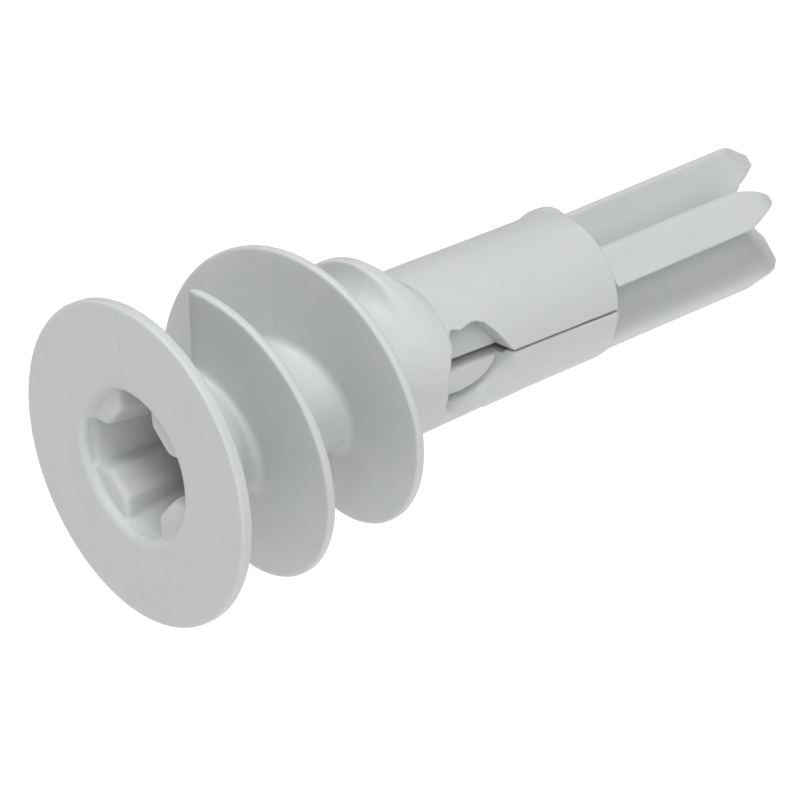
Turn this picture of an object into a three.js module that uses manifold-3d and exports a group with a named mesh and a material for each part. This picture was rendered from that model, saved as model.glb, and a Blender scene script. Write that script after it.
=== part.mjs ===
// Self-drilling hollow-wall anchor: a nylon moulding with a flange, a cross drive socket, a coarse
// thread, a split sleeve and a four-bladed drill tip that swings aside on a living hinge.
// Units are millimetres. The axis runs along +Y into the wall, +Z is up, and the origin is on the
// axis in the flange's back face, which rests on the wall.
import * as THREE from "three";
import { mergeVertices } from "three/addons/utils/BufferGeometryUtils.js";
import Module from "manifold-3d";

const wasm = await Module();
wasm.setup();

// Driving dimensions
const FLANGE_RADIUS = 7;
const FLANGE_THICKNESS = 0.5;
const FLANGE_EDGE = 0.15; // chamfer that stands for the rounded rim
const CORE_RADIUS = 2.65; // between the turns of the thread
const CORE_BASE_RADIUS = 3.85; // where the core leaves the flange
const CORE_BASE_END = 3.7;
const SLEEVE_RADIUS = 3.58;
const SLEEVE_TIP_RADIUS = 3.52; // a little moulding draft
const CONE_START = 9.3; // core starts to widen to the sleeve
const COLLAR_END = 14.2; // last section of the fixed body

const THREAD_PITCH = 5;
const THREAD_START = 2.9; // axial place of the blade's middle where it starts, at the top
const THREAD_RADIUS = 6.85;
const THREAD_ROOT = 2.3;
const THREAD_TURNS = 2.105;
const THREAD_TAPER_TURN = 1.235; // the crest starts to come in after this many turns
const THREAD_TAPER = 2.78; // fall of the crest radius, per turn
const THREAD_RUNOUT_TURN = 2.02; // and drops to the sleeve from here to the end
const THREAD_CREST_HALF = 0.2;
const THREAD_ROOT_HALF = 0.42;
const STEPS_PER_TURN = 36;

const BORE_RADIUS = 1.55; // pilot bore that the screw cuts its thread in
const SOCKET_RADIUS = 3.3; // wings of the cross socket, at the mouth
const SOCKET_END_RADIUS = 2.1;
const SOCKET_DEPTH = 4;
const RIB_REACH = 2.55; // axis to the tip of each drive rib, at the mouth
const RIB_END_REACH = 1.7;
const RIB_TIP_HALF = 0.5;
const RIB_BASE_HALF = 1.5;
const RIB_SETBACK = 0.2;

const GUIDE_TUBE_RADIUS = 2.38; // split tube that leads the screw across the window
const GUIDE_START = 14.5;
const SOLID_END = 18.4; // beyond this the sleeve is a thin shell round the drill tip
const JAW_WALL_INNER = 3.1;
const JAW_START = 15.4;
const JAW_END = 24.5;
const LEG_WALL_INNER = 2.9;
const LEG_START = 15.4;
const LEG_END = 24.7;
const LEG_CHAMFER = 0.7;
const SLIT_GAP = 0.3;
const SLIT_SLOPE = THREE.MathUtils.degToRad(2); // the slit falls a little towards the tip

const WINDOW_LEFT = 13.7;
const WINDOW_TOP = 1.85;
const WINDOW_TOP_RIGHT = 16.5;
const WINDOW_RIGHT = 17.9;
const WINDOW_BOTTOM = -1.6;

const WEB_GAP = 0.3;
const JAW_WEB_INNER = 2.75;
const JAW_WEB_HALF_ANGLE = THREE.MathUtils.degToRad(57);
const TIP_WEB_INNER = 3.0;
const TIP_WEB_HALF_ANGLE = THREE.MathUtils.degToRad(61);

const CROWN_DROP = 0.32; // the drill tip's axis lies this far under the sleeve's axis
const BLADE_RADIUS = 3.15;
const BLADE_TIP_RADIUS = 3.3;
const BLADE_HALF = 0.88;
const BLADE_TIP_HALF = 1.0;
const BLADE_RIDGE_HALF = 0.3;
const BLADE_BEVEL = 1.9; // length of the bevels that sharpen each blade
const BLADE_START = 17.5;
const CROWN_TURN = 4; // degrees that the blades stand past the diagonals
const BLADE_TIPS = [36.7, 37.3, 38.2, 39.1]; // the four blades reach out by different lengths
const BLADE_CLEARANCE_RADIUS = 2.8; // inside the jaw
const RAMP_START = 18.4;
const RAMP_TOP = 20.4;
const NUB_PLACE = 24.85; // rounded nub on the jaw's rim
const NUB_ANGLE = -36; // degrees
const NUB_CENTRE_RADIUS = 2.4;
const NUB_RADIUS = 1.24;
const NUB_HALF_LENGTH = 1.9;
const NUB_INNER = 3.2;

const FAR = 60; // larger than the part, for cutting tools
const ROUND_SEGMENTS = 48;

const NYLON = 0xc9cdca;
const NYLON_ROUGHNESS = 0.55;

// A closed geometry as a manifold solid, with its faces turned outwards.
function solid(geometry) {
  const bare = geometry.clone();
  bare.deleteAttribute("normal");
  bare.deleteAttribute("uv");
  const merged = mergeVertices(bare, 1e-4);
  const positions = merged.attributes.position.array;
  const triangles = new Uint32Array(merged.index.array);
  const build = () => new wasm.Manifold(new wasm.Mesh({ numProp: 3, vertProperties: positions, triVerts: triangles }));
  const made = build();
  if (made.volume() > 0) return made;
  for (let i = 0; i < triangles.length; i += 3) {
    [triangles[i + 1], triangles[i + 2]] = [triangles[i + 2], triangles[i + 1]];
  }
  return build();
}

// A solid of revolution round the Y axis, from [radius, y] points.
function lathe(profile) {
  const points = profile.map(([radius, y]) => new THREE.Vector2(radius, y));
  return solid(new THREE.LatheGeometry(points, ROUND_SEGMENTS));
}

function ring(inner, outer, start, end) {
  return lathe([[inner, start], [outer, start], [outer, end], [inner, end], [inner, start]]);
}

function rod(radius, start, end) {
  return lathe([[0, start], [radius, start], [radius, end], [0, end]]);
}

// An outline in two axes, extruded along the third. The axes are given in right-handed order.
function prism(outline, [first, second, along], from, to) {
  const shape = new THREE.Shape(outline.map(([a, b]) => new THREE.Vector2(a, b)));
  const geometry = new THREE.ExtrudeGeometry(shape, { depth: to - from, bevelEnabled: false });
  geometry.translate(0, 0, from);
  geometry.applyMatrix4(new THREE.Matrix4().makeBasis(first, second, along));
  return solid(geometry);
}

const X = new THREE.Vector3(1, 0, 0);
const Y = new THREE.Vector3(0, 1, 0);
const Z = new THREE.Vector3(0, 0, 1);

// A side view outline in y and z, extruded along X.
const sidePrism = (outline, from, to) => prism(outline, [Y, Z, X], from, to);

// Everything on one side of the slit plane, which crosses the axis at the window's far corner.
function slitSide(sign) {
  const edge = (y) => (WINDOW_RIGHT - y) * Math.tan(SLIT_SLOPE) + (sign * SLIT_GAP) / 2;
  return sidePrism([[0, edge(0)], [FAR, edge(FAR)], [FAR, sign * FAR], [0, sign * FAR]], -FAR, FAR);
}

// A wedge round the direction of angle, measured from +Z towards +X.
function wedge(angle, halfAngle, start, end) {
  const corner = (a) => [FAR * Math.cos(a), FAR * Math.sin(a)];
  const outline = [[0, 0], corner(angle - halfAngle), corner(angle + halfAngle)];
  return prism(outline, [Z, X, Y], start, end);
}

// The blade's crest radius after a number of turns.
function crestRadius(turn) {
  const tapered = THREAD_RADIUS - THREAD_TAPER * Math.max(0, turn - THREAD_TAPER_TURN);
  const runout = THREE.MathUtils.smoothstep(turn, THREAD_RUNOUT_TURN, THREAD_TURNS);
  return THREE.MathUtils.lerp(tapered, SLEEVE_RADIUS - 0.1, runout);
}

// The helical blade: its section, across 0 to 1 from root to crest, is extruded over the turns and
// then wound round the axis.
function threadBlade() {
  const section = new THREE.Shape();
  section.moveTo(0, -THREAD_ROOT_HALF);
  section.lineTo(0.96, -THREAD_CREST_HALF);
  section.lineTo(1, -THREAD_CREST_HALF / 3);
  section.lineTo(1, THREAD_CREST_HALF / 3);
  section.lineTo(0.96, THREAD_CREST_HALF);
  section.lineTo(0, THREAD_ROOT_HALF);
  section.closePath();
  const steps = Math.round(THREAD_TURNS * STEPS_PER_TURN);
  const geometry = new THREE.ExtrudeGeometry(section, {
    depth: THREAD_TURNS,
    steps,
    bevelEnabled: false,
  });
  const position = geometry.attributes.position;
  for (let i = 0; i < position.count; i++) {
    const turn = position.getZ(i);
    const radius = THREE.MathUtils.lerp(THREAD_ROOT, crestRadius(turn), position.getX(i));
    const angle = 2 * Math.PI * turn;
    const y = THREAD_START + THREAD_PITCH * turn + position.getY(i);
    position.setXYZ(i, radius * Math.sin(angle), y, radius * Math.cos(angle));
  }
  return solid(geometry);
}

// The drive socket: a tapered round recess with four ribs that leave a cross.
function driveSocket() {
  const mouth = -FLANGE_THICKNESS;
  const floor = mouth + SOCKET_DEPTH;
  const recess = lathe([
    [0, mouth - 1],
    [SOCKET_RADIUS + 0.3, mouth - 1],
    [SOCKET_RADIUS, mouth],
    [SOCKET_END_RADIUS, floor],
    [0, floor],
  ]);
  const ribOutline = [
    [RIB_REACH, -RIB_TIP_HALF],
    [RIB_REACH + 1, -RIB_BASE_HALF],
    [RIB_REACH + 3, -RIB_BASE_HALF],
    [RIB_REACH + 3, RIB_BASE_HALF],
    [RIB_REACH + 1, RIB_BASE_HALF],
    [RIB_REACH, RIB_TIP_HALF],
  ];
  const shape = new THREE.Shape(ribOutline.map(([a, b]) => new THREE.Vector2(a, b)));
  const ribGeometry = new THREE.ExtrudeGeometry(shape, { depth: 1, bevelEnabled: false });
  const position = ribGeometry.attributes.position;
  for (let i = 0; i < position.count; i++) {
    const depth = position.getZ(i);
    const reach = position.getX(i) - depth * (RIB_REACH - RIB_END_REACH);
    const y = THREE.MathUtils.lerp(mouth + RIB_SETBACK, floor + 1, depth);
    position.setXYZ(i, position.getY(i), y, reach);
  }
  const rib = solid(ribGeometry);
  let socket = recess;
  for (let quarter = 0; quarter < 4; quarter++) {
    socket = socket.subtract(rib.rotate([0, 45 + 90 * quarter, 0]));
  }
  return socket;
}

function anchorBody() {
  const outer = lathe([
    [0, -FLANGE_THICKNESS],
    [FLANGE_RADIUS - FLANGE_EDGE, -FLANGE_THICKNESS],
    [FLANGE_RADIUS, -FLANGE_THICKNESS + FLANGE_EDGE],
    [FLANGE_RADIUS, -FLANGE_EDGE],
    [FLANGE_RADIUS - FLANGE_EDGE, 0],
    [CORE_BASE_RADIUS, 0],
    [CORE_RADIUS, CORE_BASE_END],
    [CORE_RADIUS, CONE_START],
    [SLEEVE_RADIUS, COLLAR_END - 0.3],
    [SLEEVE_RADIUS, COLLAR_END],
    [0, COLLAR_END],
  ]);
  const bore = rod(BORE_RADIUS, 0, FAR);
  return outer.add(threadBlade()).subtract(bore).subtract(driveSocket()).subtract(windowCutter());
}

// The window goes across the sleeve but leaves the guide tube.
function windowCutter() {
  const outline = [
    [WINDOW_LEFT + 0.8, WINDOW_TOP],
    [WINDOW_LEFT + 0.2, WINDOW_TOP / 2],
    [WINDOW_LEFT, 0],
    [WINDOW_LEFT + 0.1, WINDOW_BOTTOM * 0.65],
    [WINDOW_LEFT + 0.6, WINDOW_BOTTOM],
    [WINDOW_RIGHT - 2.4, WINDOW_BOTTOM],
    [WINDOW_RIGHT - 1, WINDOW_BOTTOM * 0.6],
    [WINDOW_RIGHT, 0],
    [WINDOW_TOP_RIGHT, WINDOW_TOP],
  ];
  return sidePrism(outline, -FAR, FAR).subtract(rod(GUIDE_TUBE_RADIUS, 0, FAR));
}

// Half of the sleeve: the guide tube, the solid stretch past the window and the shell.
function sleeveHalf(start, shellInner, end, chamfer) {
  return lathe([
    [BORE_RADIUS, GUIDE_START],
    [GUIDE_TUBE_RADIUS, GUIDE_START],
    [GUIDE_TUBE_RADIUS, start],
    [SLEEVE_RADIUS, start],
    [SLEEVE_TIP_RADIUS, end],
    [SLEEVE_TIP_RADIUS - chamfer, end + chamfer],
    [shellInner - 0.05, end + chamfer],
    [shellInner, SOLID_END],
    [BORE_RADIUS, SOLID_END],
    [BORE_RADIUS, GUIDE_START],
  ]).subtract(windowCutter());
}

function guideJaw() {
  const half = sleeveHalf(JAW_START, JAW_WALL_INNER, JAW_END - 0.1, 0.1).intersect(slitSide(1));
  const nub = solid(new THREE.SphereGeometry(1, 18, 12))
    .scale([NUB_RADIUS, NUB_HALF_LENGTH, NUB_RADIUS])
    .translate([0, NUB_PLACE, NUB_CENTRE_RADIUS])
    .rotate([0, NUB_ANGLE, 0])
    .subtract(rod(NUB_INNER, 0, FAR));
  return half.add(nub);
}

// One blade of the drill tip, standing along +Z before it is turned to its place. It is the overlap
// of its side view, which gives the ridge, and its front view, which gives the bevels.
function drillBlade(tip) {
  const sideView = [
    [-BLADE_HALF, BLADE_START],
    [BLADE_TIP_RADIUS + 1, BLADE_START],
    [BLADE_TIP_RADIUS + 1, tip - 3.2],
    [3.35, tip - 1.1],
    [2.8, tip - 0.15],
    [2.15, tip],
    [1.35, tip - 1.9],
    [0.7, tip - 2.7],
    [-BLADE_HALF, tip - 2.9],
  ];
  const frontView = [
    [-BLADE_HALF, BLADE_START],
    [BLADE_HALF, BLADE_START],
    [BLADE_TIP_HALF, tip - BLADE_BEVEL],
    [BLADE_RIDGE_HALF, tip],
    [-BLADE_RIDGE_HALF, tip],
    [-BLADE_TIP_HALF, tip - BLADE_BEVEL],
  ];
  const side = prism(sideView, [Z, Y, X.clone().negate()], -BLADE_TIP_HALF - 1, BLADE_TIP_HALF + 1);
  const front = prism(frontView, [X, Y, Z], -BLADE_TIP_HALF, BLADE_TIP_RADIUS + 1);
  return side.intersect(front);
}

function drillTip() {
  let blades;
  BLADE_TIPS.forEach((tip, quarter) => {
    const blade = drillBlade(tip).rotate([0, 45 + CROWN_TURN + 90 * quarter, 0]);
    blades = blades ? blades.add(blade) : blade;
  });
  const envelope = lathe([
    [0, BLADE_START],
    [BLADE_RADIUS, BLADE_START],
    [BLADE_TIP_RADIUS, FAR * 0.6],
    [BLADE_TIP_RADIUS, FAR],
    [0, FAR],
  ]);
  const ramp = sidePrism([[0, -FAR], [RAMP_START, -1.9], [RAMP_TOP, 3.2], [RAMP_TOP, FAR], [0, FAR]], -FAR, FAR);
  const jawRoom = ring(BLADE_CLEARANCE_RADIUS, FAR, 0, JAW_END + WEB_GAP).intersect(slitSide(1));
  const crown = blades
    .intersect(envelope)
    .translate([0, 0, -CROWN_DROP])
    .subtract(ramp)
    .subtract(jawRoom);
  const leg = sleeveHalf(LEG_START, LEG_WALL_INNER, LEG_END, LEG_CHAMFER).intersect(slitSide(-1));
  return leg.add(crown);
}

// The living hinges: curved straps in line with the sleeve's wall, over and under the window.
const jawHingeWeb = () =>
  ring(JAW_WEB_INNER, SLEEVE_RADIUS, COLLAR_END + WEB_GAP, JAW_START - WEB_GAP).intersect(
    wedge(0, JAW_WEB_HALF_ANGLE, 0, FAR),
  );
const tipHingeWeb = () =>
  ring(TIP_WEB_INNER, SLEEVE_RADIUS, COLLAR_END + WEB_GAP, LEG_START - WEB_GAP).intersect(
    wedge(Math.PI, TIP_WEB_HALF_ANGLE, 0, FAR),
  );

function meshOf(name, shape, tint) {
  const { vertProperties, triVerts } = shape.getMesh();
  const geometry = new THREE.BufferGeometry();
  geometry.setAttribute("position", new THREE.BufferAttribute(vertProperties, 3));
  geometry.setIndex(new THREE.BufferAttribute(triVerts, 1));
  geometry.computeVertexNormals();
  const material = new THREE.MeshStandardMaterial({ color: tint, roughness: NYLON_ROUGHNESS, metalness: 0 });
  const mesh = new THREE.Mesh(geometry, material);
  mesh.name = name;
  return mesh;
}

const group = new THREE.Group();
group.add(meshOf("anchor_body", anchorBody(), NYLON));
group.add(meshOf("jaw_hinge_web", jawHingeWeb(), NYLON));
group.add(meshOf("guide_jaw", guideJaw(), NYLON));
group.add(meshOf("tip_hinge_web", tipHingeWeb(), NYLON));
group.add(meshOf("drill_tip", drillTip(), NYLON));

export default group;
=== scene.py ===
import math

import bpy
import numpy as np
from mathutils import Matrix, Vector


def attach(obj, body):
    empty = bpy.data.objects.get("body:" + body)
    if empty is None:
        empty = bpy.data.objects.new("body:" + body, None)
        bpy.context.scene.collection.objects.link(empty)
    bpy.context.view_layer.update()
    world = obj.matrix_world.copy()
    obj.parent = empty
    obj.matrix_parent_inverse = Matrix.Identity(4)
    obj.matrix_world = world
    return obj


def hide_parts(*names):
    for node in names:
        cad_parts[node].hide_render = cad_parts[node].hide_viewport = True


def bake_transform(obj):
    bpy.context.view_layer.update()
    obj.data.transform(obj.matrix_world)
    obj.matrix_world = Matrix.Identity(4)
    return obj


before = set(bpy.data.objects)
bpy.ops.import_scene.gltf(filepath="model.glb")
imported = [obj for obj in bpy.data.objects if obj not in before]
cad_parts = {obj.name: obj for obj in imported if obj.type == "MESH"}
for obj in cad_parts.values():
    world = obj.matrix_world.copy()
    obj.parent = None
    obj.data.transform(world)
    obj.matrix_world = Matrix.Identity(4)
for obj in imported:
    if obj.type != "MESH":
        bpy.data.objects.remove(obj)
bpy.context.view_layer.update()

MM = 0.001

# ---------------------------------------------------------------- sizes, in mm, as in the CAD part
FLANGE_RADIUS = 7.0
FLANGE_FRONT = -0.5
FLANGE_THICKNESS = 0.5
SOCKET_DEPTH = 4.5
PILOT = 1.5  # radius of the hole through the core
PITCH = 4.985
THREAD_START = 2.914  # where the thread's middle stands straight over the axis
CREST = 6.85
TAPER_TURN = 1.235  # the crest loses height from this turn on
TAPER = 2.78  # by this much a turn
RUNOUT = (1.93, 2.16)  # and drops into the collar between these turns
COLLAR_END = 14.2
SHELL_START = 14.0  # the sleeve's halves reach a little way into the collar
RIM = 24.5
SLIT = 0.1  # between the two halves of the sleeve
TUBE = 2.4  # radius of the guide tube inside the window
LOBE = 2.78  # radius of its lower half, which stands out of the scoop
TUBE_START = 14.5
SOLID_END = 18.4  # the sleeve is solid up to here, and hollow beyond
BORE = 1.55  # radius of the screw's way through the guide tube
SLOT = 0.2  # how far the lower half of the tube lies under the slit
CROWN_DROP = 0.32  # how far the blades' cross lies below the sleeve's axis

# The blades of the drill tip. Each has its direction in degrees, its two sides with their edge radii,
# how far its second side is undercut, where the bevels of its end would meet, and its end as
# (distance out, distance along) points.
SHORT_BLADE = dict(
    sides=(-0.75, 1.32),
    edges=(0.4, 0.1),
    waist=0.5,
    ridge=37.0,
    end=((-0.3, 33.9), (0.9, 34.4), (1.7, 35.8), (2.5, 36.35), (3.0, 36.25), (3.5, 35.2), (4.5, 33)),
)
BLADES = (
    dict(SHORT_BLADE, angle=49),
    dict(
        angle=139,
        sides=(-1.0, 0.95),
        edges=(0.3, 0.3),
        waist=0.4,
        ridge=38.1,
        end=((-0.3, 36.45), (0.3, 36.7), (1.46, 37.5), (2.7, 37.45), (3.06, 36.9), (3.4, 35.7), (4.5, 33)),
    ),
    dict(SHORT_BLADE, angle=229),
    dict(
        angle=319,
        sides=(-0.95, 0.95),
        edges=(0.3, 0.3),
        waist=0.4,
        ridge=39.9,
        end=((-0.3, 36.3), (0.6, 36.4), (1.36, 37.5), (2.05, 39.2), (2.65, 39.2), (3.3, 37.8), (4.5, 35.4)),
    ),
)

# Outside radii along the axis, as (along, radius) points.
CORE_PROFILE = (
    (-1, 4.0), (0, 3.9), (2.8, 3.2), (3.3, 2.84), (4.2, 2.66), (9.0, 2.66), (12.4, 3.42), (13.6, 3.6),
)
SLEEVE_PROFILE = ((13.0, 3.6), (16.0, 3.59), (20.0, 3.54), (24.5, 3.51))
LEG_PROFILE = ((13.0, 3.6), (16.0, 3.59), (21.0, 3.54), (24.7, 3.62))
# The window between the two straps, and the scoop in the lower half of the sleeve that it ends in, as
# (along, up) points.
WINDOW = (
    (14.5, 1.93), (14.0, 1.0), (13.75, 0.3), (13.75, -0.4), (13.85, -1.0), (14.6, -1.45), (15.7, -1.68),
    (16.8, -1.32), (17.38, -0.75), (17.6, -0.1), (17.8, 0.04), (17.35, 0.66), (16.9, 1.22), (16.45, 1.7),
    (16.05, 1.86), (15.75, 1.9), (15.3, 1.82), (15, 1.79),
)
RECESS = (
    (13.75, 0.6), (13.75, -0.9), (14.2, -1.22), (14.6, -1.45), (15.1, -1.62), (15.7, -1.68), (16.35, -1.55),
    (16.8, -1.32), (17.1, -1.05), (17.38, -0.75), (17.53, -0.45), (17.6, -0.1), (17.6, 0.6),
)


# ---------------------------------------------------------------- distance tools
def both(a, b, soft=0.0):
    """Where both shapes are: their overlap, with its edge rounded over about half of soft."""
    if np.isscalar(soft) and soft == 0:
        return np.maximum(a, b)
    h = np.maximum(soft - np.abs(a - b), 0) / soft
    return np.maximum(a, b) + h * h * soft / 4


def either(a, b, soft=0.0):
    """Where either shape is: their union, with a fillet of about half of soft."""
    return -both(-a, -b, soft)


def without(a, b, soft=0.0):
    return both(a, -b, soft)


def rounded(a, b, edge):
    """The overlap of two slabs with a round edge of that radius."""
    outside = np.hypot(np.maximum(a + edge, 0), np.maximum(b + edge, 0))
    return outside + np.minimum(np.maximum(a, b) + edge, 0) - edge


def smoothstep(low, high, value):
    t = np.clip((value - low) / (high - low), 0, 1)
    return t * t * (3 - 2 * t)


def profile(points, y):
    """A radius that runs smoothly through (y, radius) points."""
    ys, rs = zip(*points)
    return sum(np.interp(y + shift, ys, rs) for shift in (-0.3, -0.15, 0, 0.15, 0.3)) / 5


def polygon(points, a, b):
    """Signed distance to a closed outline in two axes."""
    best = np.full(a.shape, np.inf, np.float32)
    inside = np.zeros(a.shape, bool)
    for (a0, b0), (a1, b1) in zip(points, points[1:] + points[:1]):
        da, db = a1 - a0, b1 - b0
        t = np.clip(((a - a0) * da + (b - b0) * db) / (da * da + db * db), 0, 1)
        best = np.minimum(best, np.hypot(a - a0 - t * da, b - b0 - t * db))
        crosses = (b0 > b) != (b1 > b)
        if db:
            inside ^= crosses & (a < a0 + (b - b0) * da / db)
    return np.where(inside, -best, best)


# ---------------------------------------------------------------- the moulding
def flange(x, y, z):
    half = FLANGE_THICKNESS / 2
    return rounded(np.hypot(x, z) - FLANGE_RADIUS, np.abs(y - FLANGE_FRONT - half) - half, 0.11)


def thread(x, y, z):
    """The right-hand thread. Its crest loses height over the last turn and then runs out."""
    radius = np.hypot(x, z)
    angle = np.arctan2(x, z)
    phase = angle % (2 * np.pi)
    slope = np.cos(np.arctan(PITCH / (2 * np.pi * np.maximum(radius, 2))))
    half = np.interp(radius, (2.6, 6.8), (0.36, 0.2))

    def blade(turns):
        crest = CREST - TAPER * np.maximum(turns - TAPER_TURN, 0)
        crest = crest + (3.3 - crest) * smoothstep(*RUNOUT, turns)
        across = (np.abs(y - THREAD_START - PITCH * turns) - half) * slope
        return rounded(radius - crest, across, 0.13)

    start = both(blade(angle / (2 * np.pi)), -0.1 - x, 0.9)
    first = np.where(np.abs(angle) < np.pi / 2, start, 50.0)
    first = np.minimum(first, np.where(phase > np.pi / 2, blade(phase / (2 * np.pi)), 50.0))
    later = [blade(turn + phase / (2 * np.pi)) for turn in (1, 2)]
    return np.minimum(first, np.minimum(*later))


def drive_socket(x, y, z):
    """The hollow of the cross socket: a tapered hole with four ribs on its diagonals."""
    radius = np.hypot(x, z)
    depth = y - FLANGE_FRONT
    hole = radius - np.interp(depth, (-1, 0, SOCKET_DEPTH), (3.55, 3.3, 2.2))
    fold = np.arctan2(x, z) % (np.pi / 2) - np.pi / 4
    along, aside = radius * np.cos(fold), np.abs(radius * np.sin(fold))
    reach = np.interp(depth, (0, SOCKET_DEPTH), (2.2, 1.65))
    flank = (aside - 0.7 - (along - reach)) / math.sqrt(2)
    recess = 0.35
    rib = both(both(reach - along, flank, 0.12), recess - depth, 0.22)
    hollow = without(hole, rib, 0.2)
    return both(hollow, depth - SOCKET_DEPTH, 0.3)


def window(x, y, z):
    """The opening through the sleeve, outside the guide tube."""
    return both(polygon(WINDOW, y, z), TUBE - 0.02 - np.hypot(x, z))


def scooped(y, z):
    """The radius of the lower half's outside. Under the window it dips in a scoop that fades out into
    the sleeve, and that ends in a crease where it meets the lower half of the guide tube."""
    away = polygon(RECESS, y, z) + 6 * np.maximum(13.75 - y, 0)
    width = (0.4 + 0.9 * smoothstep(0.1, 1.2, -z)) * (0.3 + 0.7 * smoothstep(13.7, 15.2, y))
    rise = 1 - (1 - np.clip(away / width, 0, 1)) ** 2.2
    crease = 0.22 * np.exp(-((away / 0.09) ** 2))
    return LOBE + (profile(LEG_PROFILE, y) - LOBE) * rise - crease


def skin(x, y, z):
    """The outside near the end of the collar, where the two halves of the sleeve grow out of it."""
    radius = np.hypot(x, z)
    return np.where(z > 0, radius - profile(SLEEVE_PROFILE, y), (radius - scooped(y, z)) * 0.8)


def anchor_body(x, y, z):
    """The flange, the socket, the core with its thread, and the collar."""
    radius = np.hypot(x, z)
    core = both(radius - profile(CORE_PROFILE, y), -0.1 - y)
    fillet = np.interp(y, (10.5, 12.5), (0.5, 1.3))
    solid = both(either(core, thread(x, y, z), fillet), y - COLLAR_END)
    solid = either(solid, flange(x, y, z), 0.4)
    solid = without(solid, drive_socket(x, y, z), 0.3)
    solid = without(solid, radius - PILOT)
    solid = without(solid, window(x, y, z), 0.1)
    return np.where((z < 0) & (y > 13.7), np.maximum(solid, skin(x, y, z)), solid)


def above_slit(y, z):
    """Height over the slit, which falls a little towards the drill tip."""
    return z - (17.9 - y) * math.tan(math.radians(2))


def guide_jaw(x, y, z):
    """The upper half of the sleeve, from its living hinge over the window to the rim, with the upper
    half of the guide tube and the nub on its rim."""
    radius = np.hypot(x, z)
    shell = both(radius - profile(SLEEVE_PROFILE, y) - 0.004, SLIT / 2 - above_slit(y, z), 0.06)
    shell = without(shell, window(x, y, z), 0.08)
    shell = both(both(shell, y - RIM, 0.1), SHELL_START - y)
    shell = without(shell, both(radius - 3.08, SOLID_END - y), 0.15)
    shell = without(shell, both(radius - 2.95, y - 15.4))
    tube = both(radius - TUBE, np.maximum(TUBE_START - y, y - SOLID_END))
    solid = either(shell, both(tube, 0.05 - above_slit(y, z), 0.1))
    # The nub is part of an egg shape that lies under the top blade, and the blade cuts a notch in it.
    tilt = math.radians(-36)
    out = x * math.sin(tilt) + z * math.cos(tilt) - 2.4
    side = x * math.cos(tilt) - z * math.sin(tilt)
    size = np.sqrt((out / 1.31) ** 2 + ((y - 24.75) / 1.7) ** 2 + (side / 1.5) ** 2)
    nub = both(both((size - 1) * 1.2, 2.2 - radius), y - 25.5, 0.3)
    nub = without(both(nub, -side - 1.0, 0.1), crown(x, y, z) - 0.06)
    solid = either(solid, nub, 0.12)
    return without(solid, radius - BORE)


def drill_blade(x, y, z, angle, sides, edges, waist, ridge, end):
    """One blade of the drill tip, with bevels that meet in a ridge at its end."""
    angle = math.radians(angle)
    out = x * math.sin(angle) + z * math.cos(angle)
    side = x * math.cos(angle) - z * math.sin(angle) - sum(sides) / 2
    half = (sides[1] - sides[0]) / 2
    draw = waist * np.clip((3.1 - out) / 2.2, 0, 1)
    reach = np.interp(y, (27, 37), (3.2, 3.32))
    bar = rounded(np.maximum(side - half + draw, -side - half), out - reach, np.where(side < 0, *edges))
    bevel = (np.abs(side) - 0.36 * (ridge - y)) * 0.94
    outline = polygon(((-0.3, 15.0),) + end + ((4.5, 15.0),), out, y)
    return both(both(bar, outline, 0.2), bevel, 0.16)


def crown(x, y, z):
    """The four blades of the drill tip, joined in a cross."""
    solid = np.full(x.shape, 50.0)
    for blade in BLADES:
        solid = either(solid, drill_blade(x, y, z + CROWN_DROP, **blade), 0.2)
    return solid


def drill_tip(x, y, z):
    """The lower half of the sleeve, from its living hinge under the window, in one with the lower half
    of the guide tube and with the blades."""
    radius = np.hypot(x, z)
    blades = both(crown(x, y, z), (SOLID_END - y + 0.39 * (z + 1.9)) * 0.93)
    under_jaw = both(-SLIT / 2 - above_slit(y, z), y - RIM - 0.3)
    blades = without(blades, both(under_jaw, 3.0 - radius), 0.1)
    leg = both((radius - scooped(y, z)) * 0.8 - 0.003, SLIT / 2 + above_slit(y, z), 0.06)
    chamfer = (radius - 3.62 + y - 24.45 - 0.35 * smoothstep(1.0, 3.0, -z)) / math.sqrt(2)
    leg = both(both(leg, chamfer, 0.2), SHELL_START - y)
    leg = without(leg, both(radius - 2.9, SOLID_END - y), 0.15)
    leg = without(leg, both(radius - 2.95, y - TUBE_START))
    slot = both(both(radius - 2.9, y - SOLID_END), -SLOT - above_slit(y, z))
    leg = without(without(leg, slot, 0.2), radius - BORE)
    return either(leg, blades, 0.3)


# ---------------------------------------------------------------- from distance to mesh
def sample(field, points, chunk=400_000):
    """The field at each point, worked out in chunks to save memory."""
    out = np.empty(len(points))
    for i in range(0, len(points), chunk):
        part = points[i : i + chunk]
        out[i : i + chunk] = field(part[:, 0], part[:, 1], part[:, 2])
    return out


def gradient(field, points, reach=0.02):
    """The field's slope at each point, from the values a small reach to either side."""
    slopes = []
    for axis in range(3):
        step = np.zeros(3)
        step[axis] = reach
        slopes.append(sample(field, points + step) - sample(field, points - step))
    return np.stack(slopes, 1) / (2 * reach)


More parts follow.
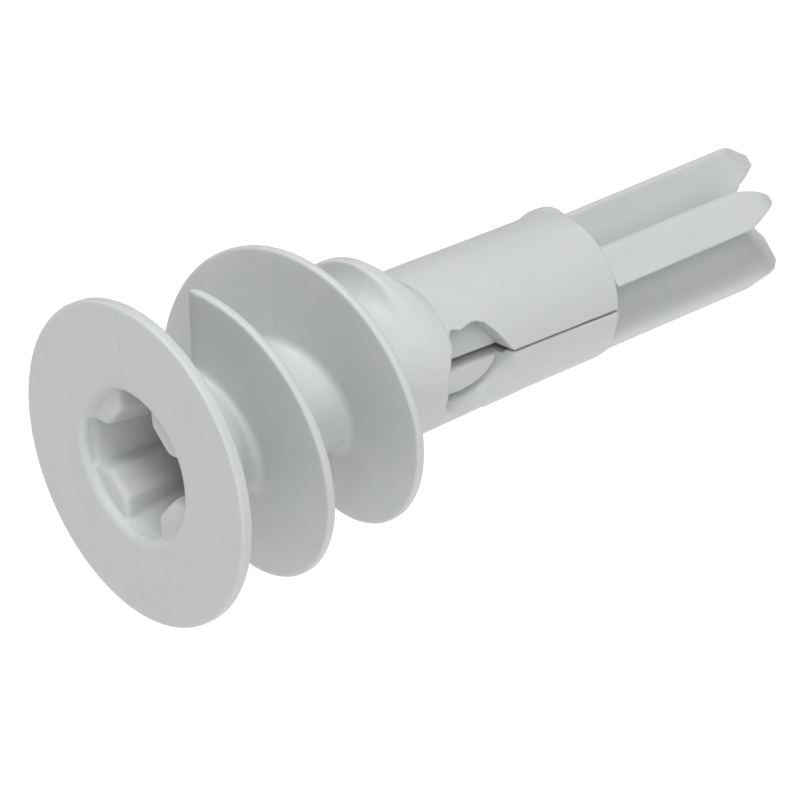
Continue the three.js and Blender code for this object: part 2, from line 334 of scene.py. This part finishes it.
def surface(field, low, high, step):
    """Vertices and quads where the field is zero, by surface nets. The vertices are then moved onto
    the surface itself."""
    # Uneven margins keep the piece's flat faces off the grid's own planes.
    low = np.array(low, float) - 1.37 * step
    high = np.array(high, float) + 1.61 * step
    axes = [np.arange(a, b, step) for a, b in zip(low, high)]
    grid = np.stack(np.meshgrid(*axes, indexing="ij"), -1)
    shape = grid.shape[:3]
    values = sample(field, grid.reshape(-1, 3)).reshape(shape)
    inside = values < 0

    total = np.zeros(tuple(n - 1 for n in shape) + (3,))
    count = np.zeros(tuple(n - 1 for n in shape))
    crossings = []
    for axis in range(3):
        first = [slice(None)] * 3
        second = [slice(None)] * 3
        first[axis], second[axis] = slice(0, -1), slice(1, None)
        v0, v1 = values[tuple(first)], values[tuple(second)]
        crosses = inside[tuple(first)] != inside[tuple(second)]
        at = np.argwhere(crosses)
        place = low + at * step
        place[:, axis] += v0[crosses] / (v0[crosses] - v1[crosses]) * step
        others = [a for a in range(3) if a != axis]
        for i in (0, 1):
            for j in (0, 1):
                cell = at.copy()
                cell[:, others[0]] -= i
                cell[:, others[1]] -= j
                np.add.at(total, tuple(cell.T), place)
                np.add.at(count, tuple(cell.T), 1)
        crossings.append((axis, others, at, inside[tuple(first)][crosses]))

    cells = np.argwhere(count > 0)
    number = np.full(count.shape, -1)
    number[tuple(cells.T)] = np.arange(len(cells))
    points = total[tuple(cells.T)] / count[tuple(cells.T)][:, None]

    quads = []
    for axis, others, at, solid_first in crossings:
        corners = []
        for i, j in ((0, 0), (1, 0), (1, 1), (0, 1)):
            cell = at.copy()
            cell[:, others[0]] -= i
            cell[:, others[1]] -= j
            corners.append(number[tuple(cell.T)])
        quad = np.stack(corners, 1)
        flip = solid_first if axis == 1 else ~solid_first
        quad[flip] = quad[flip][:, ::-1]
        quads.append(quad)

    # Two Newton steps, each of at most 0.4 of a cell.
    for _ in range(2):
        slope = gradient(field, points)
        size = np.maximum((slope**2).sum(1), 0.3)
        move = -sample(field, points)[:, None] * slope / size[:, None]
        length = np.linalg.norm(move, axis=1, keepdims=True)
        points += move * np.minimum(1, 0.4 * step / np.maximum(length, 1e-9))
    return points, np.concatenate(quads)


def moulded(name, field, low, high, step, material):
    """A piece with the field's own normals. Near the collar's end it takes the common skin's normals,
    so that the shading runs on from the collar to both halves of the sleeve."""
    points, quads = surface(field, low, high, step)
    normals = gradient(field, points, 0.03)
    at_seam = (np.abs(points[:, 1] - COLLAR_END) < 0.35) & (np.abs(sample(skin, points)) < 0.1)
    normals[at_seam] = gradient(skin, points[at_seam], 0.03)
    normals /= np.maximum(np.linalg.norm(normals, axis=1, keepdims=True), 1e-9)
    mesh = bpy.data.meshes.new(name)
    mesh.from_pydata((points * MM).tolist(), [], quads.tolist())
    mesh.shade_smooth()
    mesh.normals_split_custom_set_from_vertices(normals.tolist())
    mesh.materials.append(material)
    piece = bpy.data.objects.new(name, mesh)
    bpy.context.collection.objects.link(piece)
    return piece


# ---------------------------------------------------------------- material
def nylon():
    """Slightly translucent off-white nylon, with the faint flow marks and parting line of a moulding."""
    material = bpy.data.materials.new("nylon")
    material.use_nodes = True
    nodes, links = material.node_tree.nodes, material.node_tree.links
    shader = nodes["Principled BSDF"]
    shader.inputs["Subsurface Weight"].default_value = 0.25
    shader.inputs["Subsurface Radius"].default_value = (1.0, 1.0, 0.85)
    shader.inputs["Subsurface Scale"].default_value = 0.0006
    shader.inputs["IOR"].default_value = 1.52
    shader.inputs["Specular IOR Level"].default_value = 0.4

    def node(kind, **inputs):
        made = nodes.new(kind)
        for name, value in inputs.items():
            made.inputs[name.replace("_", " ")].default_value = value
        return made

    place = nodes.new("ShaderNodeTexCoord").outputs["Object"]

    def noise(scale, detail, stretch=(1, 1, 1)):
        mapping = node("ShaderNodeMapping", Scale=stretch)
        links.new(place, mapping.inputs["Vector"])
        made = node("ShaderNodeTexNoise", Scale=scale, Detail=detail, Roughness=0.55)
        links.new(mapping.outputs["Vector"], made.inputs["Vector"])
        return made.outputs["Fac"]

    def ramp(value, low, high):
        made = node("ShaderNodeMapRange", From_Min=0.3, From_Max=0.7, To_Min=low, To_Max=high)
        links.new(value, made.inputs["Value"])
        return made.outputs["Result"]

    # Cloudy colour, drawn out a little along the axis, as the melt flowed.
    cloud = noise(420, 4, (1, 0.6, 1))
    colour = nodes.new("ShaderNodeMix")
    colour.data_type = "RGBA"
    colour.inputs["A"].default_value = (0.468, 0.490, 0.470, 1)
    colour.inputs["B"].default_value = (0.518, 0.533, 0.529, 1)
    links.new(cloud, colour.inputs["Factor"])
    links.new(colour.outputs["Result"], shader.inputs["Base Color"])
    links.new(ramp(noise(900, 3), 0.42, 0.6), shader.inputs["Roughness"])

    # A shallow orange peel, and the hairline that the two mould halves leave in the plane x = 0.
    peel = node("ShaderNodeBump", Strength=0.25, Distance=0.00002)
    links.new(noise(1600, 3), peel.inputs["Height"])
    split = nodes.new("ShaderNodeSeparateXYZ")
    links.new(place, split.inputs["Vector"])
    away = nodes.new("ShaderNodeMath")
    away.operation = "ABSOLUTE"
    links.new(split.outputs["X"], away.inputs[0])
    hairline = node("ShaderNodeMapRange", From_Min=0.00002, From_Max=0.00009, To_Min=1.0, To_Max=0.0)
    hairline.interpolation_type = "SMOOTHSTEP"
    links.new(away.outputs[0], hairline.inputs["Value"])
    line = node("ShaderNodeBump", Strength=0.6, Distance=0.00002)
    links.new(hairline.outputs["Result"], line.inputs["Height"])
    links.new(peel.outputs["Normal"], line.inputs["Normal"])
    links.new(line.outputs["Normal"], shader.inputs["Normal"])
    return material


def paper():
    """A lit white backdrop, like the top of a light table."""
    material = bpy.data.materials.new("backdrop")
    material.use_nodes = True
    shader = material.node_tree.nodes["Principled BSDF"]
    shader.inputs["Base Color"].default_value = (0.2, 0.2, 0.2, 1)
    shader.inputs["Roughness"].default_value = 0.9
    shader.inputs["Emission Color"].default_value = (1, 1, 1, 1)
    shader.inputs["Emission Strength"].default_value = 0.86
    return material


# ---------------------------------------------------------------- pieces
plastic = nylon()

body = moulded("anchor_moulding", anchor_body, (-7, -0.5, -7), (7, 14.2, 7), 0.1, plastic)
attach(body, "body")
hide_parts("anchor_body")

jaw = moulded("guide_jaw_moulding", guide_jaw, (-3.7, 14.0, -0.6), (3.7, 26.5, 3.8), 0.085, plastic)
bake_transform(jaw)
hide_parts("guide_jaw")
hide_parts("jaw_hinge_web")

tip = moulded("drill_tip_moulding", drill_tip, (-3.8, 14.0, -3.8), (3.8, 39.5, 3.2), 0.09, plastic)
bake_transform(tip)
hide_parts("drill_tip")
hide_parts("tip_hinge_web")

# ---------------------------------------------------------------- floor, light and camera
# The floor lies below the drill tip at its lowest.
bpy.ops.mesh.primitive_plane_add(size=3, location=(0, 0, -0.0245))
floor = bpy.context.object
floor.name = "floor"
floor.data.materials.append(paper())

world = bpy.data.worlds.new("studio")
bpy.context.scene.world = world
world.use_nodes = True
world.node_tree.nodes["Background"].inputs["Color"].default_value = (1, 1, 1, 1)
world.node_tree.nodes["Background"].inputs["Strength"].default_value = 0.32

TARGET = Vector((0, 0.016, 0))


def softbox(name, place, power):
    """A square soft light of 0.2 m that faces the part."""
    light = bpy.data.lights.new(name, "AREA")
    light.shape = "SQUARE"
    light.size = 0.2
    light.energy = power
    lamp = bpy.data.objects.new(name, light)
    bpy.context.collection.objects.link(lamp)
    lamp.location = Vector(place)
    lamp.rotation_euler = (TARGET - lamp.location).to_track_quat("-Z", "Y").to_euler()


softbox("side", (0.25, -0.10, 0.15), 0.4)
softbox("overhead", (0.03, -0.07, 0.33), 0.96)

camera_data = bpy.data.cameras.new("camera")
camera_data.lens = 121.5
camera_data.sensor_width = 36
camera_data.clip_start = 0.001
camera = bpy.data.objects.new("camera", camera_data)
bpy.context.collection.objects.link(camera)
right = (0.68121, 0.73116, -0.03684)
up = (-0.29294, 0.31835, 0.90158)
back = (0.67093, -0.60336, 0.43105)
turn = Matrix((right, up, back)).transposed()
camera.matrix_world = Matrix.Translation((0.07954, -0.05733, 0.04889)) @ turn.to_4x4()
bpy.context.scene.camera = camera
bpy.context.scene.view_settings.view_transform = "Standard"
